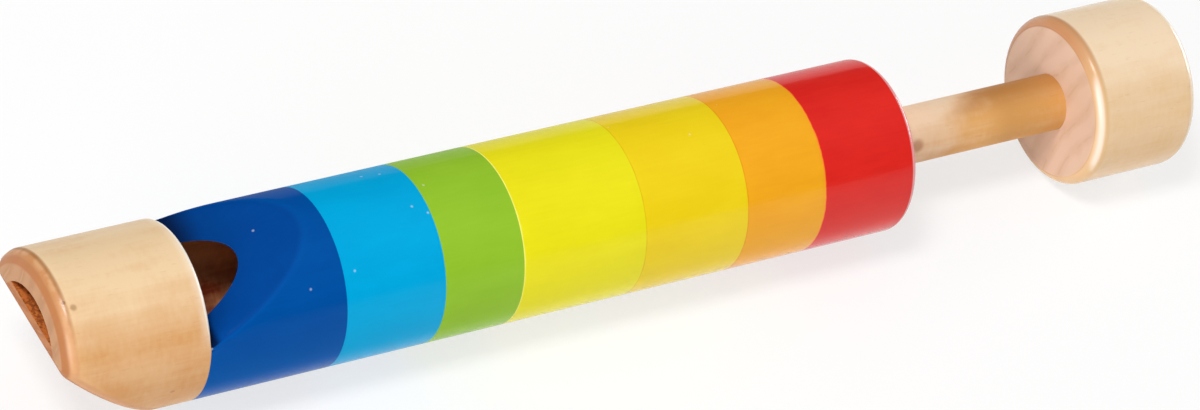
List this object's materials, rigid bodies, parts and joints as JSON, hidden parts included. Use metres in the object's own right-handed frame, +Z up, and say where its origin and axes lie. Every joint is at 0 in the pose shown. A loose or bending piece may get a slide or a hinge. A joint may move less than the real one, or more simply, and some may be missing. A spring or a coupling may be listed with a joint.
{
  "type": "slide whistle",
  "caption": "Wooden slide whistle: beaked fipple mouthpiece, barrel in rainbow bands with a ramped sound window, and a sliding piston rod with a round pull knob.",
  "frame": {"origin": "on the common axis of barrel and slide, at the middle of the barrel's plain round stretch", "axes": "+X along the axis from the mouth to the knob, +Z up out of the sound window, +Y to the player's left with the window up and the knob pointing away"},
  "size_m": [0.2193, 0.03, 0.03],
  "materials": {
    "bare_beech": "clear satin lacquer",
    "block_wood": "sanded, oiled",
    "barrel_wood": "bored, bare",
    "rod_wood": "clear satin lacquer",
    "bush_wood": "turned, bare",
    "piston_wood": "turned, bare",
    "packing_felt": "pressed felt",
    "dark_blue_lacquer": "gloss lacquer",
    "sky_blue_lacquer": "gloss lacquer",
    "green_lacquer": "gloss lacquer",
    "yellow_lacquer": "gloss lacquer",
    "golden_lacquer": "gloss lacquer",
    "orange_lacquer": "gloss lacquer",
    "red_lacquer": "gloss lacquer"
  },
  "bodies": {
    "barrel": {"mouthpiece": "bare_beech", "fipple_block": "block_wood", "barrel_tube": "barrel_wood", "dark_blue_band": "dark_blue_lacquer", "sky_blue_band": "sky_blue_lacquer", "green_band": "green_lacquer", "yellow_band": "yellow_lacquer", "golden_band": "golden_lacquer", "orange_band": "orange_lacquer", "red_band": "red_lacquer", "end_bush": "bush_wood"},
    "packing": {"packing_ring": "packing_felt"},
    "slide": {"slide_rod": "rod_wood", "piston": "piston_wood", "knob": "bare_beech"}
  },
  "joints": [
    {"name": "slide_draw", "type": "slide", "parent": "barrel", "child": "packing", "axis": [1, 0, 0], "range_m": [-0.0378, 0.0477]},
    {"name": "slide_turn", "type": "hinge", "parent": "packing", "child": "slide", "pos_m": [0, 0, 0], "axis": [1, 0, 0], "continuous": true}
  ]
}
